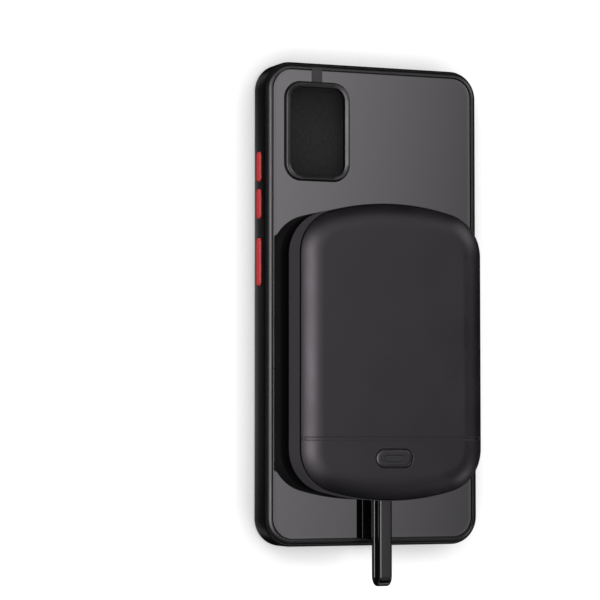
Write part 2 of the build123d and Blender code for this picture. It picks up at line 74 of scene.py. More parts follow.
# %% [markdown]
# ## The camera
#
# The picture looks down on the back of the case from its left. A long lens far away keeps the case's sides
# almost parallel. The camera's up is the case's own length, so its axes are written out: the usual
# look-at turn would put the world's Z at the top of the picture.

# %% Camera
eye = Vector((-371.13, -46.05, 822.14)) * mm
aim = Vector((-27.49, 1.05, 11.6)) * mm
bpy.ops.object.camera_add(location=eye)
camera = bpy.context.object
camera.name = "photo_camera"
camera.data.sensor_width = 36
camera.data.lens = 156.25
camera.data.clip_start = 0.05
backward = (eye - aim).normalized()
rightward = Vector((0, 1, 0)).cross(backward).normalized()
upward = backward.cross(rightward)
camera.rotation_euler = Matrix((rightward, upward, backward)).transposed().to_euler()
bpy.context.scene.camera = camera
print("camera distance", round((eye - aim).length, 3), "m")

# %% [markdown]
# ## Tools for a moulded piece
#
# Most of these pieces were moulded: a flat outline with some height and rounded edges. By hand one would
# draw the outline as a face, then extrude it straight up and inset it inwards step by step. The helpers
# below do that. `begin` starts a piece from a plane, and `follow` walks the selected face through stations,
# each a distance set in from the outline and a level. `pick` selects what passes a test, where one would
# click on it by hand.

# %% Starting and raising a piece
corner_merge = 0.002 * mm
same_inset = 1e-9
same_level = 1e-7


def begin(name, turn=(0, 0, 0)):
    """A unit plane at the origin, in edit mode with all of it selected."""
    if bpy.context.mode != "OBJECT":
        bpy.ops.object.mode_set(mode="OBJECT")
    bpy.ops.object.select_all(action="DESELECT")
    bpy.ops.mesh.primitive_plane_add(size=1, rotation=turn)
    piece = bpy.context.object
    piece.name = name
    piece.data.name = name
    bpy.ops.object.transform_apply(location=False, rotation=True, scale=False)
    bpy.ops.object.mode_set(mode="EDIT")
    return piece


def rounded_plate(name, middle, width, length, corner, steps=20):
    """A flat rectangle with round corners."""
    piece = begin(name)
    bpy.ops.transform.resize(value=(width, length, 1))
    bpy.ops.transform.translate(value=middle)
    bpy.ops.mesh.bevel(offset=corner, segments=steps, profile=0.5, affect="VERTICES")
    bpy.ops.mesh.select_all(action="SELECT")
    bpy.ops.mesh.remove_doubles(threshold=corner_merge)
    return piece


def follow(*stations):
    """Takes the selected face through (set in, level) stations, straight up or inwards."""
    for (set_in, level), (next_in, next_level) in zip(stations, stations[1:]):
        rise = (0, 0, next_level - level)
        if abs(next_in - set_in) < same_inset:
            bpy.ops.mesh.extrude_region_move(TRANSFORM_OT_translate={"value": rise})
        else:
            bpy.ops.mesh.inset(thickness=next_in - set_in, depth=0)
            bpy.ops.transform.translate(value=rise)


def quarter(set_in, level, radius, steps=8, way=1):
    """Stations of a rounded edge that ends flat at this level."""
    turns = [math.pi / 2 * step / steps for step in range(steps + 1)]
    return [(set_in + radius * (1 - math.cos(a)), level - way * radius * (1 - math.sin(a))) for a in turns]


def pick(piece, kind, test):
    """Selects in edit mode the vertices, edges or faces that pass the test."""
    bpy.ops.mesh.select_mode(type=kind)
    bpy.ops.mesh.select_all(action="DESELECT")
    mesh = bmesh.from_edit_mesh(piece.data)
    for item in {"VERT": mesh.verts, "EDGE": mesh.edges, "FACE": mesh.faces}[kind]:
        item.select_set(test(item))
    mesh.select_flush_mode()
    bmesh.update_edit_mesh(piece.data)


def pick_level(piece, level):
    """Selects in edit mode the faces that lie flat at this level."""
    pick(piece, "FACE", lambda face: all(abs(v.co.z - level) < same_level for v in face.verts))


# %% [markdown]
# Openings are cut with boolean modifiers, as a mould's core pins would leave them. A piece is done when its
# doubles are merged, its faces point outwards and it is shaded smooth up to an angle. Weighted normals keep
# the large flats flat beside their rounded edges.

# %% Cutting and finishing a piece
close_merge = 0.0005 * mm


def close(piece):
    """Merges doubles, turns the faces outwards and goes back to object mode."""
    if bpy.context.mode != "OBJECT":
        bpy.ops.object.mode_set(mode="OBJECT")
    bpy.ops.object.select_all(action="DESELECT")
    piece.select_set(True)
    bpy.context.view_layer.objects.active = piece
    bpy.ops.object.mode_set(mode="EDIT")
    bpy.ops.mesh.select_mode(type="VERT")
    bpy.ops.mesh.select_all(action="SELECT")
    bpy.ops.mesh.remove_doubles(threshold=close_merge)
    bpy.ops.mesh.normals_make_consistent(inside=False)
    bpy.ops.object.mode_set(mode="OBJECT")


def trim(piece, tool, operation="DIFFERENCE"):
    """Cuts the tool out of the piece, or adds it, and removes the tool."""
    close(tool)
    close(piece)
    bpy.ops.object.modifier_add(type="BOOLEAN")
    modifier = piece.modifiers[-1]
    modifier.operation = operation
    modifier.solver = "EXACT"
    modifier.object = tool
    bpy.ops.object.modifier_apply(modifier=modifier.name)
    bpy.data.objects.remove(tool)


def edit(piece):
    """Closes the piece so far and opens it in edit mode."""
    close(piece)
    bpy.ops.object.mode_set(mode="EDIT")


def soften(radius, steps=3):
    """Rounds the selected edges."""
    bpy.ops.mesh.bevel(offset=radius, segments=steps, profile=0.5, affect="EDGES", clamp_overlap=True)


def hand_in(piece, node, finish, angle=32):
    """Shades the piece, gives it its finish and lets it stand for its solid."""
    close(piece)
    bpy.ops.object.shade_smooth_by_angle(angle=math.radians(angle))
    bpy.ops.object.modifier_add(type="WEIGHTED_NORMAL")
    piece.modifiers[-1].keep_sharp = True
    bpy.ops.object.modifier_apply(modifier=piece.modifiers[-1].name)
    piece.data.materials.clear()
    piece.data.materials.append(finish)
    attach(piece, body_of_node[node])
    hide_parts(node)
    print(piece.name, "faces", len(piece.data.polygons), "rides on", body_of_node[node])


# %% [markdown]
# ## Finishes
#
# Every finish is a Principled shader with its plain values on the shader's own sockets, and noise on object
# coordinates for what varies: a fine grain from the mould, a little unevenness of gloss and of colour. Noise
# is used because the pieces have no seams or prints to follow, and object coordinates are metres here, so a
# scale of 4000 is a grain of a quarter of a millimetre.


# %% A moulded finish
def moulded(name, colour, roughness, grain=0.0, grain_size=0.25 * mm, patch=0.12, drift=0.12, sockets=None):
    """Plastic or rubber with a moulded grain, patchy gloss and a faint drift of colour."""
    finish = bpy.data.materials.new(name)
    finish.use_nodes = True
    nodes = finish.node_tree.nodes
    links = finish.node_tree.links
    shader = nodes["Principled BSDF"]
    for socket, value in (sockets or {}).items():
        shader.inputs[socket].default_value = value
    place = nodes.new("ShaderNodeTexCoord")

    patches = nodes.new("ShaderNodeTexNoise")
    patches.inputs["Scale"].default_value = 90
    patches.inputs["Detail"].default_value = 4
    links.new(place.outputs["Object"], patches.inputs["Vector"])
    gloss = nodes.new("ShaderNodeMapRange")
    gloss.inputs["From Min"].default_value = 0.3
    gloss.inputs["From Max"].default_value = 0.7
    gloss.inputs["To Min"].default_value = roughness * (1 - patch)
    gloss.inputs["To Max"].default_value = roughness * (1 + patch)
    links.new(patches.outputs["Fac"], gloss.inputs["Value"])
    links.new(gloss.outputs["Result"], shader.inputs["Roughness"])

    grains = nodes.new("ShaderNodeTexNoise")
    grains.inputs["Scale"].default_value = 1 / grain_size
    grains.inputs["Detail"].default_value = 2
    links.new(place.outputs["Object"], grains.inputs["Vector"])
    tone = nodes.new("ShaderNodeMix")
    tone.data_type = "RGBA"
    tone.inputs["A"].default_value = (*[c * (1 - drift) for c in colour], 1)
    tone.inputs["B"].default_value = (*[c * (1 + drift) for c in colour], 1)
    links.new(grains.outputs["Fac"], tone.inputs["Factor"])
    links.new(tone.outputs["Result"], shader.inputs["Base Color"])
    if grain:
        relief = nodes.new("ShaderNodeBump")
        relief.inputs["Strength"].default_value = 0.5
        relief.inputs["Distance"].default_value = grain
        links.new(grains.outputs["Fac"], relief.inputs["Height"])
        links.new(relief.outputs["Normal"], shader.inputs["Normal"])
    return finish


# %% [markdown]
# The blacks differ mostly in gloss. The plate is polished, the lead is smooth, the frame, the cover and the
# pill are satin, and the tray is dull. The cover and the pill mirror a little less green, which gives their
# black a faint violet cast. The red keys let some light in under their surface.

# %% The moulded finishes
violet_sheen = (1, 0.96, 1, 1)
frame_rubber = moulded("frame_rubber", (0.003, 0.003, 0.0032), 0.32, grain=0.004 * mm, grain_size=0.2 * mm,
                       sockets={"IOR": 1.45})
panel_gloss = moulded("panel_gloss", (0.0015, 0.0015, 0.0016), 0.03, patch=0.3, sockets={"IOR": 1.9})
key_red = moulded("key_red", (0.54, 0.042, 0.044), 0.38, grain=0.003 * mm,
                  sockets={"Specular IOR Level": 0.15, "Subsurface Weight": 0.05,
                           "Subsurface Radius": (1 * mm, 0.3 * mm, 0.3 * mm)})
tray_black = moulded("tray_black", (0.046, 0.042, 0.047), 0.6, grain=0.012 * mm, grain_size=0.16 * mm,
                     sockets={"Specular IOR Level": 0.01})
cover_black = moulded("cover_black", (0.0026, 0.0023, 0.0027), 0.38, grain=0.012 * mm, grain_size=0.16 * mm,
                      sockets={"IOR": 1.415, "Specular Tint": violet_sheen})
pill_black = moulded("pill_black", (0.0036, 0.0034, 0.0038), 0.36, grain=0.008 * mm, grain_size=0.16 * mm,
                     sockets={"IOR": 1.42, "Specular Tint": violet_sheen})
window_smoke = moulded("window_smoke", (0.005, 0.005, 0.0055), 0.34, sockets={"IOR": 1.42})
lead_black = moulded("lead_black", (0.003, 0.003, 0.0032), 0.16, grain=0.004 * mm, grain_size=0.3 * mm,
                     sockets={"IOR": 1.5})
grip_rubber = moulded("grip_rubber", (0.012, 0.012, 0.013), 0.75, grain=0.02 * mm, grain_size=0.3 * mm)
part_black = moulded("part_black", (0.022, 0.022, 0.023), 0.45, grain=0.01 * mm, grain_size=0.2 * mm)
cell_soft = moulded("cell_soft", (0.11, 0.11, 0.112), 0.9, grain=0.12 * mm, grain_size=0.5 * mm)
lamp_lens = moulded("lamp_lens", (0.82, 0.82, 0.78), 0.22, patch=0.2)
print("moulded finishes", len(bpy.data.materials))

# %% [markdown]
# The few metal pieces show the way they were made: rolled sheet and plated shells have fine lines along one
# direction, and the cell's foil is slightly crumpled. Noise that is squeezed along one axis gives the lines.


# %% Metal finishes
def worked_metal(name, colour, roughness, lines, relief, dull=0.82, bright=1.1, spread=0.3):
    """Bare metal with lines along X, or crumples where the scale is even."""
    finish = bpy.data.materials.new(name)
    finish.use_nodes = True
    nodes = finish.node_tree.nodes
    links = finish.node_tree.links
    shader = nodes["Principled BSDF"]
    shader.inputs["Metallic"].default_value = 1
    place = nodes.new("ShaderNodeTexCoord")
    squeeze = nodes.new("ShaderNodeMapping")
    squeeze.inputs["Scale"].default_value = lines
    streaks = nodes.new("ShaderNodeTexNoise")
    streaks.inputs["Scale"].default_value = 1
    streaks.inputs["Detail"].default_value = 5
    links.new(place.outputs["Object"], squeeze.inputs["Vector"])
    links.new(squeeze.outputs["Vector"], streaks.inputs["Vector"])
    tone = nodes.new("ShaderNodeMix")
    tone.data_type = "RGBA"
    tone.inputs["A"].default_value = (*[c * dull for c in colour], 1)
    tone.inputs["B"].default_value = (*[c * bright for c in colour], 1)
    links.new(streaks.outputs["Fac"], tone.inputs["Factor"])
    links.new(tone.outputs["Result"], shader.inputs["Base Color"])
    gloss = nodes.new("ShaderNodeMapRange")
    gloss.inputs["To Min"].default_value = roughness * (1 - spread)
    gloss.inputs["To Max"].default_value = roughness * (1 + spread)
    links.new(streaks.outputs["Fac"], gloss.inputs["Value"])
    links.new(gloss.outputs["Result"], shader.inputs["Roughness"])
    bump = nodes.new("ShaderNodeBump")
    bump.inputs["Strength"].default_value = 0.4
    bump.inputs["Distance"].default_value = relief
    links.new(streaks.outputs["Fac"], bump.inputs["Height"])
    links.new(bump.outputs["Normal"], shader.inputs["Normal"])
    return finish


plate_steel = worked_metal("plate_steel", (0.52, 0.52, 0.53), 0.34, (60, 2600, 2600), 0.004 * mm)
plated_metal = worked_metal("plated_metal", (0.58, 0.56, 0.53), 0.24, (300, 2400, 2400), 0.002 * mm)
cell_foil = worked_metal("cell_foil", (0.6, 0.61, 0.63), 0.38, (160, 160, 160), 0.06 * mm)
print("metal finishes", plate_steel.name, plated_metal.name, cell_foil.name)

# %% [markdown]
# The board is green lacquer over copper tracks. A brick pattern stands for the tracks: its joints are the
# gaps between them, and the lacquer is a little higher and lighter over the copper.

# %% Board finish
board_green = bpy.data.materials.new("board_green")
board_green.use_nodes = True
board_nodes = board_green.node_tree.nodes
board_links = board_green.node_tree.links
board_shader = board_nodes["Principled BSDF"]
board_shader.inputs["Roughness"].default_value = 0.28
board_place = board_nodes.new("ShaderNodeTexCoord")
tracks = board_nodes.new("ShaderNodeTexBrick")
tracks.inputs["Scale"].default_value = 220
tracks.inputs["Mortar Size"].default_value = 0.06
tracks.inputs["Color1"].default_value = (0.016, 0.12, 0.045, 1)
tracks.inputs["Color2"].default_value = (0.022, 0.15, 0.06, 1)
tracks.inputs["Mortar"].default_value = (0.008, 0.06, 0.024, 1)
board_links.new(board_place.outputs["Object"], tracks.inputs["Vector"])
board_links.new(tracks.outputs["Color"], board_shader.inputs["Base Color"])
track_relief = board_nodes.new("ShaderNodeBump")
track_relief.invert = True
track_relief.inputs["Strength"].default_value = 0.4
track_relief.inputs["Distance"].default_value = 0.03 * mm
board_links.new(tracks.outputs["Fac"], track_relief.inputs["Height"])
board_links.new(track_relief.outputs["Normal"], board_shader.inputs["Normal"])
print("all finishes", len(bpy.data.materials))

# %% [markdown]
# ## The soft frame
#
# The frame is one moulding: walls round the pocket, a lip at the open front, a ledge for the plate, and the
# raised rim round the camera window with a short bridge to the top. A rounded block is raised first, because
# its outer edges are the ones that catch the light, and the pocket is cut out of it in four steps.

# %% Frame: outer block and pocket
case_low, case_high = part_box("bumper_frame")
panel_low, panel_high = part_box("back_panel")
case_width = case_high.x - case_low.x
case_length = case_high.y - case_low.y
rim_proud = 0.1 * mm
case_depth = panel_high.z + rim_proud
case_corner = 9.5 * mm
side_wall = 2.2 * mm
lip_overhang = 1.1 * mm
lip_depth = 1.3 * mm
back_round = 2.2 * mm
front_round = 1.2 * mm
rim_width = 2.3 * mm
ledge_width = 1.4 * mm
ledge_thickness = 0.9 * mm
ledge_bottom = panel_low.z - ledge_thickness
spare = 1 * mm


def case_plate(name, set_in, level):
    """The case's outline, set in from its outer wall."""
    return rounded_plate(name, (0, 0, level), case_width - 2 * set_in, case_length - 2 * set_in,
                         case_corner - set_in)


soft_frame = case_plate("soft_frame", 0, front_round)
follow((0, front_round), *quarter(0, case_depth, back_round, steps=12))
pick_level(soft_frame, front_round)
follow(*quarter(0, case_low.z, front_round, steps=8, way=-1))
for set_in, low, high in (
    (side_wall + lip_overhang, -spare, lip_depth + spare),
    (side_wall, lip_depth, ledge_bottom),
    (rim_width + ledge_width, ledge_bottom - spare, panel_low.z + spare / 2),
    (rim_width, panel_low.z, case_depth + spare),
):
    core = case_plate("core", set_in, low)
    follow((0, low), (0, high))
    trim(soft_frame, core)
print("frame walls", round(side_wall / mm, 2), "mm, depth", round(case_depth / mm, 2), "mm")

# %% [markdown]
# The rim round the camera window stands above the plate, with a rounded outer edge and a top that dishes
# down towards the window. The bridge lies level with the plate and joins the rim to the top wall.

# %% Frame: camera rim and bridge
window_x = case_low.x + 18.65 * mm
window_y = case_high.y - 23.6 * mm
ring_width = 24.0 * mm
ring_length = 33.9 * mm
ring_corner = 6.0 * mm
ring_band = 1.8 * mm
ring_round = 0.8 * mm
dish_depth = 0.55 * mm
bridge_width = 3.7 * mm
bridge_corner = 0.05 * mm
ring_top = case_high.z

ring = rounded_plate("ring", (window_x, window_y, panel_low.z), ring_width, ring_length, ring_corner)
follow((0, panel_low.z), *quarter(0, ring_top, ring_round, steps=8),
       (ring_band + ring_round / 2, ring_top - dish_depth))
hole = rounded_plate("hole", (window_x, window_y, panel_low.z - spare), ring_width - 2 * ring_band,
                     ring_length - 2 * ring_band, ring_corner - ring_band)
follow((0, panel_low.z - spare), (0, ring_top + spare))
trim(ring, hole)
bridge_start = window_y + ring_length / 2 - ring_band / 2
bridge_end = case_high.y - rim_width + ring_band / 2
bridge = rounded_plate("bridge", (window_x, (bridge_start + bridge_end) / 2, panel_low.z), bridge_width,
                       bridge_end - bridge_start, bridge_corner, steps=1)
follow((0, panel_low.z), (0, panel_high.z))
trim(ring, bridge, "UNION")
trim(soft_frame, ring, "UNION")
print("camera window", round((ring_width - 2 * ring_band) / mm, 1), "mm wide")

# %% [markdown]
# The end walls have openings for the port, the speaker and the microphones. Each is cut with a round-ended
# core: a rectangle whose corners are rounded by half its height, stood on its edge and pushed through the
# wall.

# %% Frame: openings in the end walls
slot_steps = 14


def slot_core(name, middle, length, height, depth, along):
    """A round-ended core that goes into a wall along X or along Y."""
    turn = (0, math.pi / 2, 0) if along == "X" else (math.pi / 2, 0, 0)
    piece = begin(name, turn)
    size = (1, length, height) if along == "X" else (length, 1, height)
    bpy.ops.transform.resize(value=size)
    bpy.ops.transform.translate(value=middle)
    bpy.ops.mesh.bevel(offset=min(length, height) / 2, segments=slot_steps, profile=0.5, affect="VERTICES")
    bpy.ops.mesh.select_all(action="SELECT")
    bpy.ops.mesh.remove_doubles(threshold=corner_merge)
    bpy.ops.mesh.select_all(action="SELECT")
    way = (depth, 0, 0) if along == "X" else (0, depth, 0)
    bpy.ops.mesh.extrude_region_move(TRANSFORM_OT_translate={"value": way})
    return piece


port_level = 5.5 * mm
wall_cut = side_wall + 1.5 * spare
end_openings = (
    ("port", 0, 14 * mm, 7 * mm, case_low.y, 1),
    ("speaker", 20.5 * mm, 13 * mm, 3 * mm, case_low.y, 1),
    ("lower_microphone", -14 * mm, 2 * mm, 2 * mm, case_low.y, 1),
    ("upper_microphone", -14 * mm, 2 * mm, 2 * mm, case_high.y, -1),
)
for name, x, length, height, y, way in end_openings:
    middle = (x, y - way * spare, port_level)
    trim(soft_frame, slot_core(name, middle, length, height, way * wall_cut, "Y"))
print("openings in the end walls", len(end_openings))

# %% [markdown]
# The left wall has a slot for each key, with a little room round the cap. The pocket behind it takes the
# flange that keeps the key in, so it is larger and starts further in, behind a web of the wall.

# %% Frame: slots of the keys
key_gap = 0.25 * mm
key_web = 1.2 * mm
key_flange = 0.8 * mm
key_nodes = ("volume_up_button", "volume_down_button", "power_button")
for node in key_nodes:
    low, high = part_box(node)
    middle = (low + high) / 2
    flange = Vector((0, high.y - low.y, high.z - low.z))
    cap_length = flange.y - 2 * key_flange
    cap_height = flange.z - 2 * key_flange
    outside = (case_low.x - spare, middle.y, middle.z)
    trim(soft_frame, slot_core("key_slot", outside, cap_length + 2 * key_gap, cap_height + 2 * key_gap,
                               side_wall + 2 * spare, "X"))
    behind = (case_low.x + key_web, middle.y, middle.z)
    trim(soft_frame, slot_core("key_pocket", behind, flange.y + 2 * key_gap, flange.z + 2 * key_gap,
                               side_wall, "X"))
print("keys", len(key_nodes))

# %% [markdown]
# Soft plastic never comes out of a mould with knife edges, so the edges that still are sharp get a small
# bevel: the lip's inner edge, the edge beside the plate and the mouths of the openings.

# %% Frame: small edges
axis_x, axis_y, axis_z = range(3)
same_plane = 1e-6
lip_soft = 0.4 * mm
rim_soft = 0.05 * mm
mouth_soft = 0.25 * mm


def on_wall(edge, axis, place):
    """True where both ends of the edge lie on a plane across this axis."""
    return all(abs(v.co[axis] - place) < same_plane for v in edge.verts)


def is_rim(edge, limit=40):
    """True where the edge turns sharply."""
    return edge.is_manifold and edge.calc_face_angle(0) > math.radians(limit)


edit(soft_frame)
pick(soft_frame, "EDGE", lambda edge: on_wall(edge, axis_z, case_low.z) and is_rim(edge))
soften(lip_soft)
pick(soft_frame, "EDGE", lambda edge: on_wall(edge, axis_z, case_depth) and is_rim(edge))
soften(rim_soft, steps=2)
for axis, place in ((axis_y, case_low.y), (axis_y, case_high.y), (axis_x, case_low.x)):
    pick(soft_frame, "EDGE", lambda edge: on_wall(edge, axis, place) and is_rim(edge))
    soften(mouth_soft)
hand_in(soft_frame, "bumper_frame", frame_rubber)

# %% [markdown]
# ## The polished plate
#
# The plate lies in the frame behind a thin groove. It is a flat sheet with a small rounded edge, cut out
# round the camera rim and its bridge. Its margin turns up very slightly, which makes the reflection darker
# along the left edge and lighter along the right one, and a step too low to feel runs round the rim. Below
# the edge its wall slopes inwards, so that the groove reads as a dark line. The plate is raised from just
# under its edge, and the face left there is then taken down to the underside.

# %% Plate
groove = 0.25 * mm
undercut = 0.45 * mm
edge_height = 0.2 * mm
panel_corner = 7.05 * mm - groove
panel_round = 0.12 * mm
panel_margin = 1.3 * mm
margin_rise = 0.035 * mm
step_width = 1.75 * mm
step_slope = 0.6 * mm
step_height = 0.02 * mm
step_root = 0.3 * mm
ring_fit = 0.1 * mm
cut_soft = 0.08 * mm
edge_level = panel_high.z - edge_height
plate_width = panel_high.x - panel_low.x - 2 * groove
plate_length = panel_high.y - panel_low.y - 2 * groove
gloss_plate = rounded_plate("gloss_plate", (0, 0, edge_level), plate_width, plate_length, panel_corner)
follow((0, edge_level), *quarter(0, panel_high.z + margin_rise, panel_round, steps=6),
       (panel_margin, panel_high.z))
pick_level(gloss_plate, edge_level)
follow((0, edge_level), (undercut, panel_low.z))
print("plate", round(plate_width / mm, 2), "by", round(plate_length / mm, 2), "mm")

# %% [markdown]
# The low step is added to the plate as a second, thin plate, and the room for the rim and for its bridge is
# then cut out of both.

# %% Plate: low step and cut-out
step_low = panel_high.z - step_root
low_step = rounded_plate("low_step", (window_x, window_y, step_low), ring_width + 2 * step_width,
                         ring_length + 2 * step_width, ring_corner + step_width)
follow((0, step_low), (0, panel_high.z), (step_slope, panel_high.z + step_height))
trim(gloss_plate, low_step, "UNION")
ring_tool = rounded_plate("ring_tool", (window_x, window_y, panel_low.z - spare), ring_width + 2 * ring_fit,
                          ring_length + 2 * ring_fit, ring_corner + ring_fit)
follow((0, panel_low.z - spare), (0, panel_high.z + spare))
bridge_tool = rounded_plate("bridge_tool", (window_x, window_y + ring_length, panel_low.z - spare),
                            bridge_width + 2 * ring_fit, 2 * ring_length, bridge_corner, steps=1)
follow((0, panel_low.z - spare), (0, panel_high.z + spare))
trim(gloss_plate, ring_tool)
trim(gloss_plate, bridge_tool)
edit(gloss_plate)
pick(gloss_plate, "EDGE", lambda edge: is_rim(edge)
     and all(v.co.z > panel_high.z - same_plane for v in edge.verts)
     and abs(edge.verts[0].co.x - window_x) < ring_width)
soften(cut_soft, steps=2)
hand_in(gloss_plate, "back_panel", panel_gloss)

# %% [markdown]
# ## The red keys
#
# Each key is a round-ended cap that stands a little proud of the wall, with a flange behind the wall that
# keeps it in. The cap's outer edge is well rounded, so the bevel is wide and has several steps. The cap
# starts inside the flange, because a boolean joins two blocks more cleanly where no faces share a plane.

# %% Keys
key_flange_thickness = 0.45 * mm
key_round = 0.45 * mm
key_round_steps = 6
for node in key_nodes:
    low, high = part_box(node)
    middle = (low + high) / 2
    flange_face = high.x - key_flange_thickness
    cap_root = flange_face + key_flange_thickness / 2
    cap = slot_core(node.replace("button", "key"), (cap_root, middle.y, middle.z),
                    high.y - low.y - 2 * key_flange, high.z - low.z - 2 * key_flange,
                    low.x - cap_root, "X")
    pick(cap, "EDGE", lambda edge: on_wall(edge, axis_x, low.x))
    soften(key_round, steps=key_round_steps)
    flange = slot_core("flange", (flange_face, middle.y, middle.z), high.y - low.y, high.z - low.z,
                       key_flange_thickness, "X")
    trim(cap, flange, "UNION")
    hand_in(cap, node, key_red)

# %% [markdown]
# ## The pack's tray
#
# Seen in plan the pack has straight sides, gently arched ends and large round corners. Such an outline is
# drawn by spinning one vertex about the centre of each arc. With no window open, spin turns clockwise for a
# positive angle, so the angles are negative here.

# %% Pack outline
tray_low, tray_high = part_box("rear_shell")
pack_middle = (tray_low + tray_high) / 2
pack_width = tray_high.x - tray_low.x
pack_length = tray_high.y - tray_low.y
end_arch = 86 * mm
pack_corner = 15 * mm
corner_steps = 28
arch_steps = 24
outline_merge = 0.001 * mm
print("pack", round(pack_width / mm, 2), "by", round(pack_length / mm, 2), "mm")


def arc(steps, turn, centre):
    """Draws an arc from the selected vertex, anticlockwise about the centre."""
    bpy.ops.mesh.spin(steps=steps, angle=-turn, center=centre, axis=(0, 0, 1))


def pack_plate(name, set_in, level):
    """The pack's outline as a flat face, set in by one amount all round."""
    side = pack_width / 2 - set_in
    end = pack_length / 2 - set_in
    arch = end_arch - set_in
    corner = pack_corner - set_in
    arch_y = end - arch
    corner_x = side - corner
    corner_y = arch_y + math.sqrt((arch - corner) ** 2 - corner_x**2)
    arch_turn = math.atan2(corner_x, corner_y - arch_y)
    piece = begin(name)
    bpy.ops.mesh.merge(type="CENTER")
    bpy.ops.transform.translate(value=(pack_middle.x + side, pack_middle.y - corner_y, level))
    for way in (1, -1):
        run = (0, way * 2 * corner_y, 0)
        bpy.ops.mesh.extrude_vertices_move(TRANSFORM_OT_translate={"value": run})
        corner_1 = (pack_middle.x + way * corner_x, pack_middle.y + way * corner_y, level)
        corner_2 = (pack_middle.x - way * corner_x, pack_middle.y + way * corner_y, level)
        arc(corner_steps, math.pi / 2 - arch_turn, corner_1)
        arc(arch_steps, 2 * arch_turn, (pack_middle.x, pack_middle.y + way * arch_y, level))
        arc(corner_steps, math.pi / 2 - arch_turn, corner_2)
    bpy.ops.mesh.select_all(action="SELECT")
    bpy.ops.mesh.remove_doubles(threshold=outline_merge)
    bpy.ops.mesh.select_all(action="SELECT")
    bpy.ops.mesh.edge_face_add()
    return piece


# %% [markdown]
# The tray is raised from the middle of its wall: up to a small rounded rim, down a bevel that makes the
# parting line dark, and on to the floor, then from below to a large rounded foot. Starting in the wall keeps
# the first face apart from the floor, so that it can be picked again by its level.

# %% Tray
foot_round = 3.4 * mm
rim_round = 0.10 * mm
rim_bevel = 1.68 * mm
tray_wall = 1.8 * mm
tray_floor = 1.2 * mm
floor_level = tray_low.z + tray_floor
wall_middle = (tray_low.z + tray_high.z) / 2
pack_tray = pack_plate("pack_tray", 0, wall_middle)
follow((0, wall_middle), *quarter(0, tray_high.z, rim_round, steps=5),
       (tray_wall - rim_bevel, tray_high.z), (tray_wall, tray_high.z - rim_bevel), (tray_wall, floor_level))
pick_level(pack_tray, wall_middle)
follow((0, wall_middle), *quarter(0, tray_low.z, foot_round, steps=14, way=-1))
print("tray", round((tray_high.z - tray_low.z) / mm, 2), "mm deep, wall", round(tray_wall / mm, 2), "mm")

# %% [markdown]
# A fine line runs round the wall just under the rim. Its cutter is a low block with the wall's own outline
# taken out of its middle, so that the line has the same depth all round.

# %% Tray: line under the rim
line_depth = 0.12 * mm
line_height = 0.25 * mm
line_below_rim = 1.5 * mm
line_level = tray_high.z - line_below_rim
line_tool = pack_plate("line_tool", -spare, line_level)
follow((0, line_level), (0, line_level + line_height))
line_core = pack_plate("line_core", line_depth, line_level - spare)
follow((0, line_level - spare), (0, line_level + spare))
trim(line_tool, line_core)
trim(pack_tray, line_tool)
print("line", round(line_below_rim / mm, 2), "mm below the rim")

# %% [markdown]
# Inside, posts carry the board and shallow pockets hold the magnets. They are discs that are added to one
# mesh, so that each set is one boolean.

# %% Tray: posts and pockets
disc_sides = 32


def discs(name, places, radius, low, high):
    """Upright round discs at these places, in one mesh."""
    bpy.ops.object.select_all(action="DESELECT")
    for number, (x, y) in enumerate(places):
        bpy.ops.mesh.primitive_cylinder_add(vertices=disc_sides, radius=radius, depth=high - low,
                                            location=(x, y, (low + high) / 2))
        if number == 0:
            piece = bpy.context.object
            piece.name = name
            bpy.ops.object.transform_apply(location=True, rotation=False, scale=False)
            bpy.ops.object.mode_set(mode="EDIT")
    return piece


board_low, board_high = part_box("circuit_board")
magnet_low, magnet_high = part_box("magnets")
board_width = 44 * mm
post_inset = 3 * mm
post_radius = 1.5 * mm
magnet_radius = 2.5 * mm
magnet_fit = 0.05 * mm
magnet_count = 12
post_places = [(x, y) for x in (board_low.x + post_inset, board_low.x + board_width - post_inset)
               for y in (board_low.y + post_inset, board_high.y - post_inset)]
magnet_circle = (magnet_high.x - magnet_low.x) / 2 - magnet_radius
magnet_turns = [2 * math.pi * number / magnet_count for number in range(magnet_count)]
magnet_places = [(pack_middle.x + magnet_circle * math.cos(a), pack_middle.y + magnet_circle * math.sin(a))
                 for a in magnet_turns]
trim(pack_tray, discs("posts", post_places, post_radius, floor_level - tray_floor / 2, board_low.z), "UNION")
trim(pack_tray, discs("pockets", magnet_places, magnet_radius + magnet_fit, magnet_low.z,
                      floor_level + spare))
print("posts", len(post_places), "pockets", len(magnet_places))

# %% [markdown]
# The plug and the lead each have their own opening in the lower end. Their cores are round-cornered blocks
# that start outside the wall, and the lead itself is drawn with the same helper later on.

# %% Tray: openings in the lower end
strap_low, strap_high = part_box("charging_loop")
plug_low, plug_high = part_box("plug_body")
lead_x = (strap_low.x + strap_high.x) / 2
strap_width = strap_high.x - strap_low.x
strap_thickness = 1.7 * mm
front_limb = strap_high.z - strap_thickness / 2
rear_limb = strap_low.z + strap_thickness / 2
core_steps = 8


def end_core(name, middle, width, height, corner, depth):
    """A round-cornered core that goes into the pack's lower end along Y."""
    piece = begin(name, (math.pi / 2, 0, 0))
    bpy.ops.transform.resize(value=(width, 1, height))
    bpy.ops.transform.translate(value=middle)
    bpy.ops.mesh.bevel(offset=corner, segments=core_steps, profile=0.5, affect="VERTICES")
    bpy.ops.mesh.select_all(action="SELECT")
    bpy.ops.mesh.extrude_region_move(TRANSFORM_OT_translate={"value": (0, depth, 0)})
    return piece


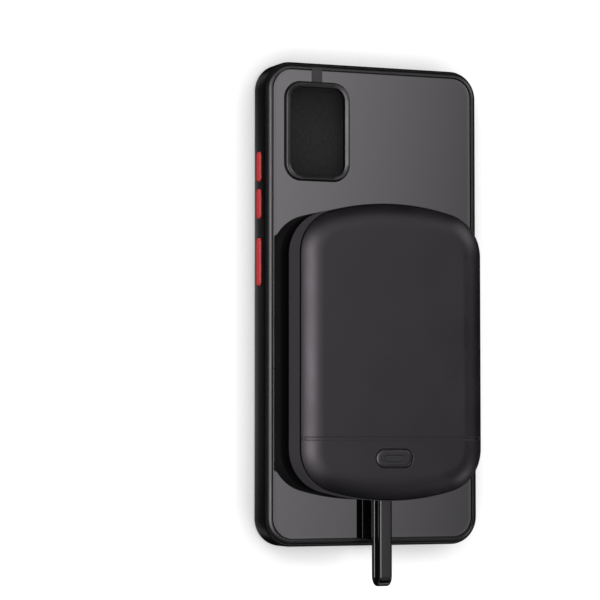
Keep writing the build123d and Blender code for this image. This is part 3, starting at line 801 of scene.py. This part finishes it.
plug_fit = 0.15 * mm
plug_corner = 1.2 * mm
strap_edge = 0.82 * mm
mouth = tray_low.y - spare
mouth_depth = tray_wall + 2 * spare
trim(pack_tray, end_core("plug_mouth", (lead_x, mouth, rear_limb), plug_high.x - plug_low.x + 2 * plug_fit,
                         plug_high.z - plug_low.z + 2 * plug_fit, plug_corner + plug_fit, mouth_depth))
trim(pack_tray, end_core("lead_mouth", (lead_x, mouth, front_limb), strap_width + 2 * plug_fit,
                         strap_thickness + 2 * plug_fit, strap_edge + plug_fit, mouth_depth))
print("lead", round(strap_width / mm, 2), "by", round(strap_thickness / mm, 2), "mm")

# %% [markdown]
# The socket's opening is in the right wall, where the sides are straight. It is drawn along X, so its plane
# stands on the other axis.

# %% Tray: socket opening
socket_low, socket_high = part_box("input_socket")
socket_gap = 0.2 * mm
socket_corner = 1.1 * mm
socket_middle = (socket_low + socket_high) / 2
socket_tool = begin("socket_mouth", (0, math.pi / 2, 0))
bpy.ops.transform.resize(value=(1, socket_high.y - socket_low.y + 2 * socket_gap,
                                socket_high.z - socket_low.z + 2 * socket_gap))
bpy.ops.transform.translate(value=(tray_high.x + spare, socket_middle.y, socket_middle.z))
bpy.ops.mesh.bevel(offset=socket_corner + socket_gap, segments=core_steps, profile=0.5, affect="VERTICES")
bpy.ops.mesh.select_all(action="SELECT")
bpy.ops.mesh.extrude_region_move(TRANSFORM_OT_translate={"value": (-mouth_depth, 0, 0)})
trim(pack_tray, socket_tool)
edit(pack_tray)
pick(pack_tray, "EDGE", lambda edge: on_wall(edge, axis_x, tray_high.x) and is_rim(edge))
soften(mouth_soft)
hand_in(pack_tray, "rear_shell", tray_black)

# %% [markdown]
# ## The crowned cover
#
# The cover's edge rolls over in one arc that ends level with the flat top. The arc is walked through in
# short insets, each one higher, because the pack's outline then stays parallel to itself all the way in.

# %% Cover: roll
cover_low, cover_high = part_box("front_cover")
cover_inset = 0.58 * mm
crown_width = 7.5 * mm
crown_height = 2.1 * mm
cover_bottom = cover_high.z - crown_height
crown_radius = (crown_width**2 + crown_height**2) / (2 * crown_height)
crown_turn = math.asin(crown_width / crown_radius)
crown_steps = 18
edge_land = 0.04 * mm
cover_edge = cover_bottom - edge_land

roll = []
for step in range(crown_steps + 1):
    tilt = crown_turn * (1 - step / crown_steps)
    along = crown_width - crown_radius * math.sin(tilt)
    drop = crown_radius * (1 - math.cos(tilt))
    roll.append((cover_inset + along, cover_high.z - drop))
pack_cover = pack_plate("pack_cover", cover_inset, cover_edge)
follow((cover_inset, cover_edge), *roll)
print("roll", round(math.degrees(crown_turn), 1), "degrees, radius", round(crown_radius / mm, 2), "mm")

# %% [markdown]
# Underneath, the face that the roll started from is walked on in the same way: inwards and down for the
# skirt that plugs into the tray, then up again for the hollow.

# %% Cover: skirt and hollow
skirt_inset = 1.9 * mm
skirt_wall = 1.0 * mm
hollow_inset = 3.2 * mm
hollow_round = 0.4 * mm
cover_skin = 1.6 * mm
roof = cover_high.z - cover_skin
pick_level(pack_cover, cover_edge)
follow((cover_inset, cover_edge), (skirt_inset, cover_edge), (skirt_inset, cover_low.z),
       (skirt_inset + skirt_wall, cover_low.z), (skirt_inset + skirt_wall, cover_bottom),
       (hollow_inset, cover_bottom), *quarter(hollow_inset, roof, hollow_round, steps=4))
print("hollow", round((roof - cover_bottom) / mm, 2), "mm high")

# %% [markdown]
# The shallow channel runs right across the cover and over its roll. Two bisecting planes mark its sides, and
# the strip between them is extruded a little way inwards along its own normals, so it follows the roll. Its
# edges are softened, except at the foot of the roll, where they run out into the parting line.

# %% Cover: channel
channel_from_end = 21 * mm
channel_y = tray_low.y + channel_from_end
channel_width = 1.2 * mm
channel_depth = 0.3 * mm
channel_soft = 0.08 * mm
roll_foot = 0.5 * mm
facing_up = 0.1
edit(pack_cover)
for side in (-1, 1):
    bpy.ops.mesh.select_all(action="SELECT")
    bpy.ops.mesh.bisect(plane_co=(0, channel_y + side * channel_width / 2, 0), plane_no=(0, 1, 0))
pick(pack_cover, "FACE", lambda face: face.normal.z > facing_up
     and abs(face.calc_center_median().y - channel_y) < channel_width / 2
     and face.calc_center_median().z > cover_bottom)
bpy.ops.mesh.extrude_region_shrink_fatten(TRANSFORM_OT_shrink_fatten={"value": -channel_depth})
mesh = bmesh.from_edit_mesh(pack_cover.data)
print("channel floor", round(max(v.co.z for v in mesh.verts if v.select) / mm, 3), "mm")
pick(pack_cover, "EDGE", lambda edge: is_rim(edge)
     and all(abs(abs(v.co.y - channel_y) - channel_width / 2) < same_plane for v in edge.verts)
     and max(v.co.z for v in edge.verts) > cover_bottom + roll_foot)
soften(channel_soft, steps=2)

# %% [markdown]
# The pill key sits in a round-ended opening. Its mouth is softened, so that it shows as a thin line of light
# and dark round the key.

# %% Cover: opening of the pill key
pill_low, pill_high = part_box("pack_button")
pill_middle = (pill_low + pill_high) / 2
pill_length = 13.6 * mm
pill_width = 6.35 * mm


def pill_block(name, length, width, low, high):
    """A round-ended block at the pill key's place."""
    piece = rounded_plate(name, (pill_middle.x, pill_middle.y, low), length, width, width / 2)
    follow((0, low), (0, high))
    return piece


trim(pack_cover, pill_block("pill_hole", pill_length, pill_width, roof - spare, cover_high.z + spare))
edit(pack_cover)
pick(pack_cover, "EDGE", lambda edge: on_wall(edge, axis_z, cover_high.z) and is_rim(edge)
     and abs(edge.verts[0].co.y - pill_middle.y) < pill_width)
soften(mouth_soft)
hand_in(pack_cover, "front_cover", cover_black)

# %% [markdown]
# ## The pill key and its light window
#
# The key's cap is crowned along its edge, with a flange behind the cover and a slot for the light window.
# The crown is walked through in short insets along a parabola that ends level with the flat middle.

# %% Pill key
pill_gap = 0.25 * mm
pill_seat = 0.05 * mm
pill_root = 0.1 * mm
pill_crown = 1.1 * mm
pill_crown_steps = 8
pill_drop = 0.22 * mm
pill_flange_top = roof - pill_seat
pill_flange_thickness = 0.7 * mm
window_fit = 0.05 * mm
slot_soft = 0.1 * mm
window_low, window_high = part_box("indicator_window")
cap_level = pill_flange_top - pill_root
pill_key = rounded_plate("pill_key", (pill_middle.x, pill_middle.y, cap_level), pill_length - 2 * pill_gap,
                         pill_width - 2 * pill_gap, pill_width / 2 - pill_gap)
shares = [step / pill_crown_steps for step in range(pill_crown_steps + 1)]
crown = [(pill_crown * share, pill_high.z - pill_drop * (1 - share) ** 2) for share in shares]
follow((0, cap_level), *crown)
trim(pill_key, pill_block("flange", pill_high.x - pill_low.x, pill_high.y - pill_low.y,
                          pill_flange_top - pill_flange_thickness, pill_flange_top), "UNION")
slot_length = window_high.x - window_low.x + 2 * window_fit
slot_width = window_high.y - window_low.y + 2 * window_fit
trim(pill_key, pill_block("window_slot", slot_length, slot_width, pill_low.z - spare, pill_high.z + spare))
edit(pill_key)
pick(pill_key, "EDGE", lambda edge: on_wall(edge, axis_z, pill_high.z) and is_rim(edge))
soften(slot_soft, steps=2)
print("pill key", round((pill_length - 2 * pill_gap) / mm, 2), "mm long")

# %% [markdown]
# A round stem under the left end of the key reaches down to the switch. It starts inside the flange, so that
# the two are joined over some depth.

# %% Pill key: stem
stem_radius = 1.1 * mm
stem_offset = 5.1 * mm
stem_top = pill_flange_top - pill_flange_thickness / 2
bpy.ops.object.mode_set(mode="OBJECT")
stem = discs("stem", [(pill_middle.x - stem_offset, pill_middle.y)], stem_radius, pill_low.z, stem_top)
trim(pill_key, stem, "UNION")
hand_in(pill_key, "pack_button", pill_black)

# %% [markdown]
# The window stands level with the cap, and its own edge is softened so that the joint can be seen.

# %% Light window
window_soft = 0.08 * mm
light_window = rounded_plate("light_window", (pill_middle.x, pill_middle.y, window_low.z),
                             window_high.x - window_low.x, window_high.y - window_low.y,
                             (window_high.y - window_low.y) / 2)
follow((0, window_low.z), *quarter(0, window_high.z, window_soft, steps=3))
hand_in(light_window, "indicator_window", window_smoke)

# %% [markdown]
# ## The flat lead
#
# The lead comes out of the pack's end, turns back once in a tight hairpin and goes up into the pack again
# with its plug. Its section is a flat strip with round edges. The section is drawn as a face, extruded down
# the front run, spun half a turn about the bend's axis, and extruded back up.

# %% Lead
bend_steps = 24
bend_radius = (front_limb - rear_limb) / 2
bend_y = strap_low.y + bend_radius + strap_thickness / 2
flat_lead = end_core("flat_lead", (lead_x, strap_high.y, front_limb), strap_width, strap_thickness,
                     strap_edge, bend_y - strap_high.y)
bend_centre = (lead_x, bend_y, (front_limb + rear_limb) / 2)
bpy.ops.mesh.spin(steps=bend_steps, angle=-math.pi, center=bend_centre, axis=(1, 0, 0))
mesh = bmesh.from_edit_mesh(flat_lead.data)
print("lowest point of the lead", round(min(v.co.y for v in mesh.verts) / mm, 2), "mm, turned to",
      round(min(v.co.z for v in mesh.verts) / mm, 2), "mm")
bpy.ops.mesh.extrude_region_move(TRANSFORM_OT_translate={"value": (0, plug_low.y - bend_y, 0)})
hand_in(flat_lead, "charging_loop", lead_black)

# %% [markdown]
# ## The plug, the socket and what lies inside
#
# The plug, the socket, the pad and the steel ring only show from the sides, from below or through the open
# front. Their solids already have the right form, so a copy of each is merged, its sharp edges are softened
# and it stands in.

# %% Smaller pieces
flat_turn = math.radians(0.5)


def from_solid(node, name, finish, edge):
    """A merged copy of a solid with its sharp edges softened."""
    piece = bpy.data.objects.new(name, frame["nodes"][node].data.copy())
    bpy.context.scene.collection.objects.link(piece)
    edit(piece)
    bpy.ops.mesh.select_all(action="SELECT")
    bpy.ops.mesh.dissolve_limited(angle_limit=flat_turn)
    pick(piece, "EDGE", is_rim)
    soften(edge, steps=2)
    hand_in(piece, node, finish)


for node, name, slot, finish, edge in (
    ("plug_body", "plug_grip", "lead_black", lead_black, 0.35 * mm),
    ("plug_shell", "plug_tip", "plated_metal", plated_metal, 0.06 * mm),
    ("input_socket", "socket_shell", "plated_metal", plated_metal, 0.06 * mm),
    ("socket_tongue", "contact_tongue", "part_black", part_black, 0.08 * mm),
    ("grip_pad", "soft_pad", "grip_rubber", grip_rubber, 0.15 * mm),
    ("docking_plate", "steel_ring", "plate_steel", plate_steel, 0.06 * mm),
):
    from_solid(node, name, finish, edge)

# %% [markdown]
# The solids inside the pack keep their own meshes, because the closed pack hides them. Each one only gets
# the finish that belongs to its slot.

# %% Finishes of the pieces inside
finish_of_slot = {"part_black": part_black, "board_green": board_green, "lamp_lens": lamp_lens,
                  "cell_foil": cell_foil, "cell_soft": cell_soft, "plated_metal": plated_metal}
inside = ("switch_body", "switch_plunger", "circuit_board", "charging_chip", "power_inductor",
          "status_lights", "battery_cell", "cell_pad", "cell_foam", "cell_tabs", "magnets", "plug_dock",
          "lead_clamp")
slot_of_node = {row["node"]: row["material_slot"] for row in frame["record"]["subparts"]}
for node in inside:
    for place in frame["nodes"][node].material_slots:
        place.material = finish_of_slot[slot_of_node[node]]
print("solids with a finish of their own", len(inside))

# %% [markdown]
# ## Floor, world and light
#
# The floor, the world and the soft boxes get their brightness from nodes, so two small helpers come first.
# One finds the rays that see a surface directly, and the other multiplies two values.


# %% Helpers for brightness
def seen_directly(nodes, links):
    """One for rays from the camera, from a reflection or through something clear, else nought."""
    rays = nodes.new("ShaderNodeLightPath")
    first = nodes.new("ShaderNodeMath")
    first.operation = "MAXIMUM"
    second = nodes.new("ShaderNodeMath")
    second.operation = "MAXIMUM"
    links.new(rays.outputs["Is Camera Ray"], first.inputs[0])
    links.new(rays.outputs["Is Glossy Ray"], first.inputs[1])
    links.new(first.outputs["Value"], second.inputs[0])
    links.new(rays.outputs["Is Transmission Ray"], second.inputs[1])
    return second.outputs["Value"]


def times(nodes, links, first, second):
    """The product of two sockets."""
    node = nodes.new("ShaderNodeMath")
    node.operation = "MULTIPLY"
    links.new(first, node.inputs[0])
    links.new(second, node.inputs[1])
    return node.outputs["Value"]


# %% [markdown]
# The floor is plain and pale. What the camera sees of it is partly its own colour, lit by the lamps, which
# casts the case's real shadow, and partly a glow that ambient occlusion takes away close to the case, which
# paints a contact shadow round it while the open floor stays white. The glow is only for rays that see the
# floor directly, so it lights nothing.

# %% Floor
floor_size = 12
ground = -0.4 * mm
shadow_reach = 12 * mm
bpy.ops.object.select_all(action="DESELECT")
bpy.ops.mesh.primitive_plane_add(size=floor_size, location=(0, 0, ground))
floor = bpy.context.object
floor.name = "floor"
floor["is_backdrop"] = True
pale = bpy.data.materials.new("pale_floor")
pale.use_nodes = True
pale_nodes = pale.node_tree.nodes
pale_links = pale.node_tree.links
pale_shader = pale_nodes["Principled BSDF"]
pale_shader.inputs["Base Color"].default_value = (0.2, 0.2, 0.2, 1)
pale_shader.inputs["Roughness"].default_value = 1
pale_shader.inputs["Specular IOR Level"].default_value = 0
pale_shader.inputs["Emission Color"].default_value = (1, 1, 1, 1)
# Painted shade: the occlusion darkens the floor's glow beside the case.
painted_shade_ao = pale_nodes.new("ShaderNodeAmbientOcclusion")
painted_shade_ao.samples = 8
painted_shade_ao.inputs["Distance"].default_value = shadow_reach
seen_glow = times(pale_nodes, pale_links, painted_shade_ao.outputs["AO"], seen_directly(pale_nodes, pale_links))
pale_links.new(seen_glow, pale_shader.inputs["Emission Strength"])
floor.data.materials.append(pale)
print("floor", floor_size, "m wide,", round(-ground / mm, 2), "mm below the case")

# %% [markdown]
# A dark sheet lies inside the case's outline as painted shade under the case, so that the open camera window
# reads dark.

# %% Painted shade under the case
painted_shade_level = -0.3 * mm
painted_shade_margin = 4 * mm
bpy.ops.object.select_all(action="DESELECT")
bpy.ops.mesh.primitive_plane_add(size=1, location=(0, 0, painted_shade_level))
painted_shade_sheet = bpy.context.object
painted_shade_sheet.name = "painted_shade_sheet"
painted_shade_sheet.scale = (case_width - 2 * painted_shade_margin, case_length - 2 * painted_shade_margin, 1)
painted_shade_sheet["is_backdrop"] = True
# Painted shade: a near-black sheet where the floor inside the case would only be shaded.
painted_shade_finish = moulded("painted_shade_finish", (0.02, 0.02, 0.021), 0.95, grain=0.05 * mm, grain_size=0.4 * mm)
painted_shade_sheet.data.materials.append(painted_shade_finish)
print("felt set in by", round(painted_shade_margin / mm, 2), "mm")

# %% [markdown]
# The world is white to the camera and to reflections, and lights the case only faintly from all sides. One
# value for both would leave either a grey backdrop or no shadows.

# %% World
world = bpy.data.worlds.new("studio")
bpy.context.scene.world = world
world.use_nodes = True
world_nodes = world.node_tree.nodes
world_links = world.node_tree.links
background = world_nodes["Background"]
background.inputs["Color"].default_value = (1, 1, 1, 1)
strength = world_nodes.new("ShaderNodeMapRange")
strength.inputs["To Min"].default_value = 0.15
strength.inputs["To Max"].default_value = 1.0
world_links.new(seen_directly(world_nodes, world_links), strength.inputs["Value"])
world_links.new(strength.outputs["Result"], background.inputs["Strength"])
print("world", world.name)

# %% [markdown]
# Four broad lamps stand round the case at its corners, with the strongest at the upper left. They are suns,
# as a sun lights the whole case alike. They are kept out of reflections, which get soft boxes of their own
# further on.

# %% Lamps
lamp_energies = (0.75, 2.3, 1.5, 0.75)
lamp_height = math.radians(32)
lamp_spread = math.radians(40)
first_corner = math.radians(45)
for number, energy in enumerate(lamp_energies):
    around = first_corner + number * math.pi / 2
    bpy.ops.object.light_add(type="SUN")
    lamp = bpy.context.object
    lamp.name = f"side_lamp_{number + 1}"
    lamp.data.energy = energy
    lamp.data.angle = lamp_spread
    lamp.visible_glossy = False
    toward = Vector((math.cos(around) * math.cos(lamp_height), math.sin(around) * math.cos(lamp_height),
                     math.sin(lamp_height)))
    lamp.rotation_euler = toward.to_track_quat("Z", "Y").to_euler()
print("lamps", len(lamp_energies))

# %% [markdown]
# ## What the case mirrors
#
# A glossy black thing is mostly made of what it mirrors, so soft boxes and dark cloths stand round it as in
# a product studio. Each is a card: a plane that only reflections see.

# %% Cards
card_colour = (1, 0.955, 1, 1)


def card(name, middle, size, turn=(0, 0, 0)):
    """A plane that only reflections see, with an empty glowing material."""
    bpy.ops.object.select_all(action="DESELECT")
    bpy.ops.mesh.primitive_plane_add(size=1, location=middle, rotation=turn)
    piece = bpy.context.object
    piece.name = name
    piece.scale = (*size, 1)
    piece.visible_camera = False
    piece.visible_diffuse = False
    piece.visible_transmission = False
    piece.visible_shadow = False
    piece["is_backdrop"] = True
    finish = bpy.data.materials.new(name)
    finish.use_nodes = True
    nodes = finish.node_tree.nodes
    nodes.remove(nodes["Principled BSDF"])
    emit = nodes.new("ShaderNodeEmission")
    emit.inputs["Color"].default_value = card_colour
    finish.node_tree.links.new(emit.outputs["Emission"], nodes["Material Output"].inputs["Surface"])
    piece.data.materials.append(finish)
    return nodes, finish.node_tree.links, emit


# %% [markdown]
# How strongly a card glows depends on the place on it. `across` gives the place along both sides of the
# card, and `ramp` turns it into a strength.


# %% Strength over a card
def ramp(nodes, links, value, start, end, low, high, soft=False):
    """Maps a value, straight on or eased at both ends."""
    node = nodes.new("ShaderNodeMapRange")
    node.clamp = soft
    node.interpolation_type = "SMOOTHSTEP" if soft else "LINEAR"
    for socket, number in (("From Min", start), ("From Max", end), ("To Min", low), ("To Max", high)):
        node.inputs[socket].default_value = number
    links.new(value, node.inputs["Value"])
    return node.outputs["Result"]


def across(nodes, links):
    """The X and Y sockets of a card's own coordinates, from -0.5 to 0.5."""
    place = nodes.new("ShaderNodeTexCoord")
    split = nodes.new("ShaderNodeSeparateXYZ")
    links.new(place.outputs["Object"], split.inputs["Vector"])
    return split.outputs["X"], split.outputs["Y"]


# %% [markdown]
# A soft box glows most in its middle and fades towards its edges, because a hard edge would show as a line
# on the case. A cloth is nearly black all over.

# %% Boxes and cloths
cloth_glow = 0.004
fade_start = 0.08
fade_end = 0.5


def soft_box(name, middle, size, glow, flat):
    """A soft box that faces the case, or lies flat, and fades towards its edges."""
    turn = (0, 0, 0) if flat else (-Vector(middle)).to_track_quat("Z", "Y").to_euler()
    nodes, links, emit = card(name, middle, size, turn)
    fades = []
    for socket, peak in zip(across(nodes, links), (glow, 1)):
        away = nodes.new("ShaderNodeMath")
        away.operation = "ABSOLUTE"
        links.new(socket, away.inputs[0])
        fades.append(ramp(nodes, links, away.outputs["Value"], fade_start, fade_end, peak, 0, soft=True))
    links.new(times(nodes, links, *fades), emit.inputs["Strength"])


def dark_cloth(name, middle, size, turn):
    """A cloth that is nearly black."""
    emit = card(name, middle, size, turn)[2]
    emit.inputs["Strength"].default_value = cloth_glow


# %% [markdown]
# The box over the plate doesn't fade towards its edges. Its glow runs along X and along Y in two straight
# slopes, and their product gives the plate its even run from light to dark.

# %% Box over the plate
slope_along_x = (0.0, 0.444, 1.652, 0.745)
slope_along_y = (-0.180, 0.0317, 0.77, 1.0)
nodes, links, emit = card("plate_box", (0.29, 0.10, 0.80), (0.32, 1.04))
across_x, across_y = across(nodes, links)
glow_x = ramp(nodes, links, across_x, *slope_along_x)
glow_y = ramp(nodes, links, across_y, *slope_along_y)
links.new(times(nodes, links, glow_x, glow_y), emit.inputs["Strength"])
print("plate box glows from", slope_along_x[2], "to", slope_along_x[3])

# %% [markdown]
# The other boxes stand where the cover's roll, its right side and corners and the edges of the frame look. A
# narrow one lies flat beside the left wall, which mirrors the floor there.

# %% Soft boxes
strip_level = -0.1 * mm
soft_boxes = (
    ("roll_box", (-0.25, 0.0, 0.90), (1.2, 0.74), 9.9, False),
    ("edge_box", (-0.80, 0.0, 0.70), (1.6, 0.24), 2.0, False),
    ("right_box", (0.80, 0.0, 0.58), (1.2, 0.28), 1.0, False),
    ("upper_corner_box", (0.76, 0.38, 0.54), (0.55, 0.75), 5.2, False),
    ("lower_corner_box", (0.81, -0.43, 0.52), (0.40, 0.35), 8.5, False),
    ("lower_box", (0.42, -0.60, 0.72), (0.70, 0.30), 0.9, False),
    ("wall_box", (-0.0396, 0.0, strip_level), (0.0046, 0.22), 0.75, True),
)
for name, middle, size, glow, flat in soft_boxes:
    soft_box(name, middle, size, glow, flat)
print("soft boxes", len(soft_boxes))

# %% [markdown]
# The cloths close the room behind the boxes, so that nothing else is mirrored. Two of them lie on the floor,
# one under the case and one beside it on the left, and meet under the flat box.

# %% Dark cloths
cloth_level = -0.2 * mm
lying = (0, 0, 0)
facing_x = (0, math.pi / 2, 0)
facing_y = (math.pi / 2, 0, 0)
cloths = (
    ("cloth_ceiling", (0, 0, 1.6), (4, 4), lying),
    ("cloth_left", (-1.4, 0, 0.85), (1.5, 4), facing_x),
    ("cloth_right", (1.4, 0, 0.8), (1.6, 4), facing_x),
    ("cloth_top", (0, 1.4, 0.85), (4, 1.5), facing_y),
    ("cloth_bottom", (0, -1.4, 0.85), (4, 1.5), facing_y),
    ("cloth_under", (0.68, 0.095, cloth_level), (1.439, 0.51), lying),
    ("cloth_beside", (-0.17, 0.095, cloth_level), (0.261, 0.51), lying),
)
for name, middle, size, turn in cloths:
    dark_cloth(name, middle, size, turn)
print("cloths", len(cloths))

# %% [markdown]
# ## Done
#
# The last cell sets the view transform and prints the box of the dressed case.

# %% Sizes
bpy.context.scene.view_settings.view_transform = "Standard"
low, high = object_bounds()
print("dressed box in mm", [round(size / mm, 2) for size in high - low])
